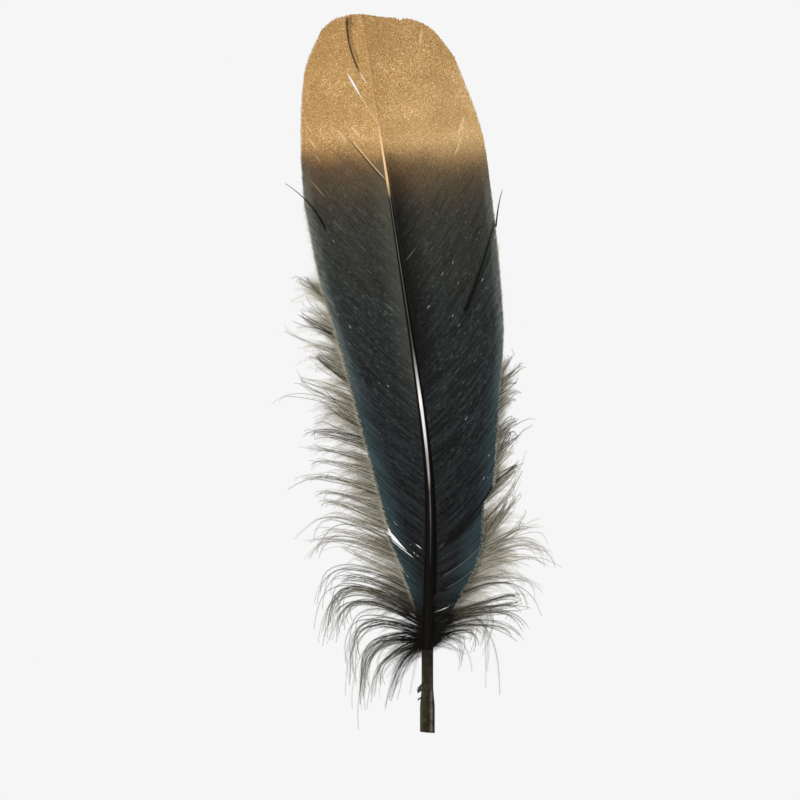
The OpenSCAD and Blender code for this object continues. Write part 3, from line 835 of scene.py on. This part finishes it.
def sheath_flake(name, rng, material):
    """A ragged shred of old sheath."""
    guides = np.array(FLAKES[name])
    t = np.linspace(0, 1, FLAKE_STEPS)
    line = guide(guides, t)
    along = unit(np.gradient(line[:, :3], axis=0))
    across = unit(np.cross(along, [0.1, 1, 0.2]))
    deep = np.cross(along, across)
    half = line[:, 3:] * (1 + 0.35 * rng.normal(0, 1, (len(t), 2)) * np.sin(np.pi * t)[:, None])
    thick = FLAKE_THICK * deep
    one = line[:, :3] + half[:, :1] * across
    other = line[:, :3] - half[:, 1:] * across
    rings = np.stack([one + thick, one - thick, other - thick, other + thick], 1)
    points, walls, ends = loft(rings[None])
    add_piece(name + "_shred", points, [walls, ends], {}, material, [name])


# ---- Materials ----
def srgb(code):
    """Linear colour from a hex code."""
    parts = [int(code[i:i + 2], 16) / 255 for i in (0, 2, 4)]
    return tuple(p / 12.92 if p <= 0.04045 else ((p + 0.055) / 1.055) ** 2.4 for p in parts) + (1,)


class Nodes:
    """A material's node tree with short calls for the nodes used here. x, y and z are the place on the
    object in metres."""

    def __init__(self, name):
        self.material = bpy.data.materials.new(name)
        self.material.use_nodes = True
        self.tree = self.material.node_tree
        self.shader = self.tree.nodes["Principled BSDF"]
        self.place = self.node("TexCoord", {}, "Object")
        self.x, self.y, self.z = [self.node("SeparateXYZ", {0: self.place}, axis) for axis in "XYZ"]

    def put(self, value, socket):
        """Sets a socket from another node's output, a number or vector, or a hex code."""
        if isinstance(value, bpy.types.NodeSocket):
            self.tree.links.new(value, socket)
        else:
            socket.default_value = srgb(value) if isinstance(value, str) else value

    def node(self, kind, inputs, output=0, **settings):
        """The output of a new node with these settings and inputs."""
        node = self.tree.nodes.new("ShaderNode" + kind)
        for key, setting in settings.items():
            setattr(node, key, setting)
        for key, value in inputs.items():
            self.put(value, node.inputs[key])
        return node.outputs[output]

    def math(self, operation, a, b=0.0, clamp=False):
        return self.node("Math", {0: a, 1: b}, operation=operation, use_clamp=clamp)

    def times(self, *values):
        product = values[0]
        for value in values[1:]:
            product = self.math("MULTIPLY", product, value)
        return product

    def value(self, name):
        return self.node("Attribute", {}, "Fac", attribute_name=name)

    def sideways(self):
        """Nought on the barrel's front and back, one on its left and right."""
        squares = self.math("ADD", self.times(self.x, self.x), self.times(self.y, self.y))
        return self.math("DIVIDE", self.math("ABSOLUTE", self.x), self.math("SQRT", squares))

    def scaled_place(self, x, y, z):
        return self.node("VectorMath", {0: self.place, 1: (x, y, z)}, operation="MULTIPLY")

    def barb_place(self, across, along):
        """A place on the vane counted in barbs and along the barb, so that textures run with the barbs."""
        place = {0: self.times(self.value("root"), across), 1: self.times(self.value("out"), along)}
        return self.node("CombineXYZ", place)

    def noise(self, scale, detail=2.0, vector=None, rough=0.5):
        inputs = {"Vector": vector or self.place, "Scale": scale, "Detail": detail, "Roughness": rough}
        return self.node("TexNoise", inputs, "Fac")

    def ramp(self, value, stops):
        """Colours by hex code, or plain numbers, at places from 0 to 1."""
        node = self.tree.nodes.new("ShaderNodeValToRGB")
        self.put(value, node.inputs[0])
        elements = node.color_ramp.elements
        while len(elements) < len(stops):
            elements.new(0.5)
        for element, (place, _) in zip(elements, stops):
            element.position = place
        for element, (_, colour) in zip(elements, stops):
            element.color = srgb(colour) if isinstance(colour, str) else (colour, colour, colour, 1)
        return node.outputs["Color"]

    def span(self, value, low, high, to_low=0.0, to_high=1.0):
        """value, clamped to low and high and carried over to the other two."""
        inputs = {"Value": value, "From Min": low, "From Max": high, "To Min": to_low, "To Max": to_high}
        return self.node("MapRange", inputs, "Result")

    def band(self, value, low, rise, fall, high):
        """One from rise to fall, and nought below low and above high."""
        return self.times(self.span(value, low, rise), self.span(value, high, fall))

    def graded(self, value, stops):
        """A ramp whose stops are given in the units of value."""
        low = stops[0][0]
        size = stops[-1][0] - low
        return self.ramp(self.span(value, low, low + size), [((v - low) / size, c) for v, c in stops])

    def mix(self, share, a, b):
        return self.node("Mix", {0: share, 6: a, 7: b}, 2, data_type="RGBA")

    def bump(self, height, strength, distance):
        inputs = {"Strength": strength, "Distance": distance, "Height": height}
        self.put(self.node("Bump", inputs), self.shader.inputs["Normal"])

    def finish(self, colour, rough, specular=0.5, metallic=0):
        sockets = self.shader.inputs
        self.put(colour, sockets["Base Color"])
        self.put(rough, sockets["Roughness"])
        self.put(specular, sockets["Specular IOR Level"])
        self.put(metallic, sockets["Metallic"])
        return self.material


# Each stop is a height in metres, then a share or a colour.
GOLD_SHARE = [
    (0.178, 0), (0.183, 0.015), (0.1895, 0.06), (0.1945, 0.15), (0.1965, 0.24), (0.2, 0.6), (0.2035, 0.92),
    (0.207, 1),
]
DYE = [
    (0.03, "030303"), (0.045, "050607"), (0.06, "08090b"), (0.078, "0a0c0f"), (0.112, "101516"),
    (0.139, "171b1a"), (0.168, "1d1f1b"), (0.186, "27241d"), (0.196, "33291c"),
]
# How strong the painted highlight stripe along the shaft's front is at each height.
STRIPE_HIGHLIGHT = [
    (0.056, 0), (0.062, 0.03), (0.07, 0.05), (0.078, 0.12), (0.084, 0.07), (0.09, 0.4), (0.095, 0.35),
    (0.099, 0.55), (0.104, 0.8), (0.115, 1), (0.119, 0.8), (0.124, 0.45), (0.129, 0.22), (0.134, 0.07),
    (0.148, 0.08), (0.165, 0.11), (0.18, 0.09),
]
# The half width of the painted highlight stripe is in millimetres.
STRIPE_HALF = [
    (0.056, 0.05), (0.08, 0.12), (0.095, 0.3), (0.115, 0.42), (0.13, 0.25), (0.14, 0.04), (0.18, 0.04),
]


def gold_share(n, wide):
    """How much of the surface the sprayed gold covers: all of it at the tip, then a fine stippled edge."""
    aside = n.math("POWER", n.math("ABSOLUTE", n.math("DIVIDE", n.math("ADD", n.x, 0.015), 0.035)), 2)
    height = n.math("SUBTRACT", n.z, n.times(aside, 0.0025))
    for noise, size in ((wide, 0.012), (n.noise(3200, 3.0, None, 0.75), 0.026)):
        height = n.math("ADD", height, n.times(n.math("SUBTRACT", noise, 0.5), size))
    return n.graded(height, GOLD_SHARE)


def gold_colour(n, wide):
    """Grainy gold with bright flecks, partly paler paint and partly painted glints, duller towards its lower
    edge, with painted shade to the upper left and painted light down and to the right.
    """
    grain = n.noise(2000, 4.0, None, 0.7)
    gold = n.ramp(grain, [(0.32, "7a5829"), (0.44, "a67d48"), (0.56, "c09962"), (0.68, "dfba82")])
    # Bright flecks: partly paler flakes in the paint, partly painted glints of the metal.
    gold = n.mix(n.span(n.noise(2900, 0), 0.6, 0.72, 0, 0.75), gold, "f8dfae")
    gold = n.mix(n.span(n.z, 0.2065, 0.197, 0, 0.7), gold, "8a5c2c")
    # Painted shade to the left and top of the gold, painted light to the right and bottom.
    across = n.span(n.x, -0.04, 0.02, -0.5, 0.5)
    across = n.math("ADD", across, n.span(n.z, 0.248, 0.208, -0.4, 0.4))
    gold = n.mix(n.span(across, 0, -0.9, 0, 0.5), gold, "855f32")
    gold = n.mix(n.span(across, 0, 0.9, 0, 0.35), gold, "f4cf97")
    return n.mix(n.span(wide, 0.35, 0.65, 0, 0.4), gold, "94703d")


def dyed_colour(n, grain, fine):
    """The dyed web: black at the foot, grey and dusty towards the gold, with streaks along the barbs,
    painted shade and light beside the shaft and a painted teal sheen near the barbs' tips.
    """
    height = n.z
    lateral = n.value("lateral")
    streaks = n.noise(1, 3, n.barb_place(0.8, 0.06))
    scratches = n.noise(1, 2, n.barb_place(3.2, 0.35))
    dark = n.graded(height, DYE)
    dust = n.span(height, 0.14, 0.2, 0, 0.45)
    dark = n.mix(n.times(dust, n.span(grain, 0.35, 0.7, 0.05, 0.6)), dark, "6b6353")
    dark = n.mix(n.span(streaks, 0.4, 0.7, 0, 0.13), dark, "5a6466")
    dark = n.mix(n.span(streaks, 0.5, 0.3, 0, 0.2), dark, "040505")
    lines = n.times(n.span(scratches, 0.55, 0.75, 0, 0.28), n.span(height, 0.06, 0.13, 0.12, 1))
    dark = n.mix(lines, dark, "6d7370")
    # Painted sheen: a teal tint over the last 13 mm of the barbs, stronger lower down.
    rim = n.times(n.span(n.value("to_tip"), 13, 0), n.span(height, 0.19, 0.12, 0.45, 1),
                  n.span(height, 0.043, 0.058), n.span(streaks, 0.3, 0.65, 0.35, 1))
    teal_sheen = n.graded(height, [(0.05, "3a5458"), (0.09, "405459"), (0.15, "485457"), (0.19, "56564e")])
    dark = n.mix(n.times(rim, 0.75), dark, teal_sheen)
    pale_share = n.times(n.span(n.value("to_tip"), 7, 0), n.span(height, 0.11, 0.14),
                   n.span(scratches, 0.35, 0.6, 0.15, 0.6))
    dark = n.mix(n.times(pale_share, n.span(height, 0.2, 0.185)), dark, "858a80")
    # Painted shade in the hollow just right of the shaft and painted light on the slope just left of it,
    # strongest near the camber's peak height.
    middle = n.span(n.math("ABSOLUTE", n.math("SUBTRACT", height, 0.163)), 0.06, 0.03)
    hollow = n.band(lateral, 0, 1.5, 2, 11)
    dark = n.mix(n.times(hollow, middle, 0.85), dark, "050606")
    ridge = n.band(lateral, -8, -1, -0.5, 0)
    dark = n.mix(n.times(ridge, middle, 0.3), dark, "5a594f")
    return n.mix(n.span(fine, 0.6, 0.8, 0, 0.35), dark, "6a675c")


def vane_material():
    """The dyed web under the sprayed gold, with its scuffs and the painted shadows of its folds."""
    n = Nodes("sprayed_vane")
    grain = n.noise(1900, 2)
    fine = n.noise(4200, 1)
    wide = n.noise(90, 3)
    share = gold_share(n, wide)
    colour = n.mix(share, dyed_colour(n, grain, fine), gold_colour(n, wide))
    mark = n.value("mark")
    pale = n.mix(n.span(n.z, 0.17, 0.186), "7c827e", "efd6a4")
    colour = n.mix(n.span(mark, 0.1, 1, 0, 0.75), colour, pale)
    # Painted shadow where the mark is below zero: near-black along the folds and the dark split.
    colour = n.mix(n.span(mark, -0.1, -1, 0, 0.9), colour, "0c0a07")
    n.bump(n.math("ADD", grain, n.times(fine, 0.6)), 0.35, 0.0002)
    return n.finish(colour, n.span(share, 0, 1, 0.7, 0.55), 0.08, n.times(share, 0.15))


def shaft_material():
    """Black horn with a painted highlight as a pale stripe along its front, gold towards the tip."""
    n = Nodes("dyed_horn")
    wide = n.noise(90, 3)
    fibres = n.noise(1, 3, n.scaled_place(1600, 1600, 60))
    height = n.z
    dark = n.graded(height, [(0.028, "0f0c08"), (0.06, "060606"), (0.12, "080909"), (0.2, "141310")])
    # Painted highlight: a near-white stripe along the front crest of the shaft, brightest at 0.104-0.119 m.
    pale_share = n.graded(height, STRIPE_HIGHLIGHT)
    half = n.graded(height, STRIPE_HALF)
    aside = n.math("ABSOLUTE", n.value("lateral"))
    stripe = n.math("SUBTRACT", 1, n.math("DIVIDE", n.math("SUBTRACT", aside, half), 0.2), True)
    stripe = n.times(stripe, n.span(n.value("ridge"), 0.3, 0.6))
    pale = n.math("MULTIPLY", n.times(pale_share, stripe), n.span(fibres, 0.25, 0.5, 0.7, 1), True)
    colour = n.mix(n.span(fibres, 0.3, 0.7, 0, 0.25), dark, "1d1910")
    colour = n.mix(pale, colour, "f0ede8")
    # Painted highlight: paler gold along the middle of the shaft's front, towards the tip.
    light = n.times(n.span(height, 0.213, 0.206), n.span(aside, 0.5, 0.3))
    gold = n.mix(n.math("ADD", n.times(light, 0.6), 0.05), gold_colour(n, wide), "f8d69e")
    cover = n.math("MULTIPLY", n.span(height, 0.1855, 0.191), n.span(aside, 0.75, 0.4), True)
    cover = n.times(cover, n.span(fibres, 0.2, 0.5, 0.5, 1))
    cover = n.math("MAXIMUM", cover, gold_share(n, wide))
    colour = n.mix(cover, colour, gold)
    n.bump(fibres, 0.25, 0.0002)
    return n.finish(colour, n.span(fibres, 0.3, 0.7, 0.5, 0.62), 0.04)


def barrel_material():
    """Olive horn with fibres and growth rings, a painted highlight as a pale streak on the right of its
    front, painted shade on its left and right sides, and a darker cut end.
    """
    n = Nodes("olive_horn")
    fibres = n.noise(1, 4, n.scaled_place(2200, 2200, 90))
    clouds = n.noise(420, 3)
    rings = n.noise(1, 2, n.scaled_place(60, 60, 1500))
    colour = n.ramp(clouds, [(0.35, "0b0805"), (0.5, "1a150d"), (0.65, "332c1f")])
    colour = n.mix(n.span(fibres, 0.4, 0.7, 0, 0.6), colour, "3a3320")
    colour = n.mix(n.span(rings, 0.5, 0.75, 0, 0.6), colour, "0a0805")
    left = n.times(n.span(n.x, -0.0008, -0.0022), n.span(clouds, 0.3, 0.6, 0.4, 0.9))
    colour = n.mix(left, colour, "40402a")
    centre = n.band(n.x, -0.0002, 0.0004, 0.0005, 0.0009)
    colour = n.mix(n.times(centre, n.span(n.z, 0.01, 0.02, 0, 0.35)), colour, "3a3430")
    # Painted highlight: a pale streak down the right of the barrel's front, stronger low down.
    stripe = n.band(n.x, 0.0008, 0.0013, 0.0015, 0.0021)
    front = n.span(n.y, -0.0004, -0.001)
    low = n.span(n.z, 0.026, 0.006, 0.25, 1)
    stripe = n.times(stripe, front, low, n.span(clouds, 0.38, 0.62, 0.3, 0.95))
    colour = n.mix(stripe, colour, "7d7166")
    colour = n.mix(n.span(n.z, 0.02, 0.029, 0, 0.7), colour, "0b0907")
    # Painted shade: near-black towards the barrel's left and right sides, where the tube turns away.
    colour = n.mix(n.span(n.sideways(), 0.915, 0.99, 0, 0.8), colour, "0a0906")
    rim = n.span(n.z, 0.0011, 0.0002)
    colour = n.mix(n.times(rim, 0.7), colour, "17130e")
    n.bump(n.math("ADD", fibres, rings), 0.3, 0.0002)
    return n.finish(colour, n.span(fibres, 0.3, 0.7, 0.34, 0.5), 0.1)


def down_material():
    """Pale barbules on darker stems, black at the foot of the feather."""
    n = Nodes("downy_barbs")
    tone = n.value("tone")
    foot = n.times(n.span(n.z, 0.051, 0.041), n.span(n.math("ABSOLUTE", n.x), 0.018, 0.008))
    shade = n.math("MAXIMUM", n.value("shade"), foot)
    near = n.noise(160, 2)
    thread = n.ramp(tone, [(0, "aca68f"), (0.5, "d0cab4"), (1, "ebe6d4")])
    thread = n.mix(n.span(shade, 0.4, 1, 0, 0.9), thread, "24211a")
    stem = n.ramp(shade, [(0, "777060"), (0.5, "33302a"), (1, "0b0a08")])
    colour = n.mix(n.value("core"), thread, stem)
    colour = n.mix(n.span(near, 0.4, 0.7, 0, 0.25), colour, "6d634f")
    colour = n.mix(n.times(foot, 0.8), colour, "070706")
    return n.finish(colour, n.span(near, 0.2, 0.8, 0.65, 0.85), 0.08)


def loose_material():
    n = Nodes("loose_barbs")
    colour = n.ramp(n.value("tone"), [(0, "08090a"), (0.6, "0d0f10"), (1, "15181a")])
    colour = n.mix(n.span(n.noise(900, 2), 0.4, 0.7, 0, 0.3), colour, "2c2b26")
    return n.finish(colour, 0.6, 0.08)


def mottled(name, texture, stops, rough, bump):
    """Colours, roughness and bump that all follow one texture, which is (scale, detail, stretch)."""
    n = Nodes(name)
    scale, detail, stretch = texture
    pattern = n.noise(scale, detail, n.scaled_place(*stretch))
    if bump:
        n.bump(pattern, *bump)
    return n.finish(n.ramp(pattern, stops), n.span(pattern, 0.3, 0.7, *rough))


def horn_chip_material():
    stops = [(0.3, "0f0c09"), (0.55, "1d1813"), (0.8, "3f3629")]
    return mottled("old_sheath", (1, 3, (3000, 3000, 300)), stops, (0.45, 0.7), (0.4, 0.0002))


def pulp_material():
    stops = [(0.3, "5d5340"), (0.5, "8d7f62"), (0.75, "b5a88a")]
    return mottled("dried_pulp", (1500, 4, (1, 1, 1)), stops, (0.6, 0.9), (0.5, 0.0002))


def pith_material():
    stops = [(0.3, "b3aa94"), (0.6, "d8d0bd"), (0.8, "ece6d8")]
    return mottled("foam_pith", (4000, 3, (1, 1, 1)), stops, (0.8, 0.95), (0.6, 0.0001))


def floor_material():
    return mottled("pale_floor", (6, 2, (1, 1, 1)), [(0.3, "f3f3f3"), (0.7, "f7f7f7")], (0.795, 0.855), None)


# ---- Floor, in metres ----
FLOOR_Z = -0.15
FLOOR_R = 2.0
FLOOR_SIDES = 64


def add_floor():
    a = turn(FLOOR_SIDES)
    rim = np.stack([FLOOR_R * np.cos(a), FLOOR_R * np.sin(a), np.full(FLOOR_SIDES, FLOOR_Z)], 1)
    mesh = bpy.data.meshes.new("floor")
    mesh.from_pydata(rim.tolist(), [], [list(range(FLOOR_SIDES))])
    mesh.materials.append(floor_material())
    new_object("floor", mesh)


def paint_node(name, material):
    """Gives a CAD node that stays as it is a better material."""
    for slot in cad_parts[name].material_slots:
        slot.material = material


# ---- The quill ----
vane = vane_material()
side_slits = {side: SLITS[side] + random_slits(seeded(50 + side)) for side in (LEFT, RIGHT)}
rims = {LEFT: [], RIGHT: []}
for number, panel in enumerate(PANELS):
    panel_side = LEFT if panel.startswith("left") else RIGHT
    rim = vane_panel(panel, side_slits[panel_side], seeded(100 + number), vane)
    rims[panel_side].append(rim)
shaft(shaft_material())
barrel(seeded(2), barrel_material())
down = down_material()
for side in (LEFT, RIGHT):
    rim_hairs(side, rims[side], seeded(60 + side), down)
for side in (LEFT, RIGHT):
    for number in range(len(LOCKS[side])):
        down_lock(side, number, seeded(250 + 50 * side + number), down)
loose = loose_material()
for number, name in enumerate(LOOSE):
    loose_barb(name, seeded(400 + number), loose)
chip = horn_chip_material()
for number, name in enumerate(FLAKES):
    sheath_flake(name, seeded(500 + number), chip)
pulp = pulp_material()
for name in ("pulp_cap_lower", "pulp_cap_middle", "pulp_cap_upper"):
    paint_node(name, pulp)
paint_node("shaft_pith", pith_material())
add_floor()
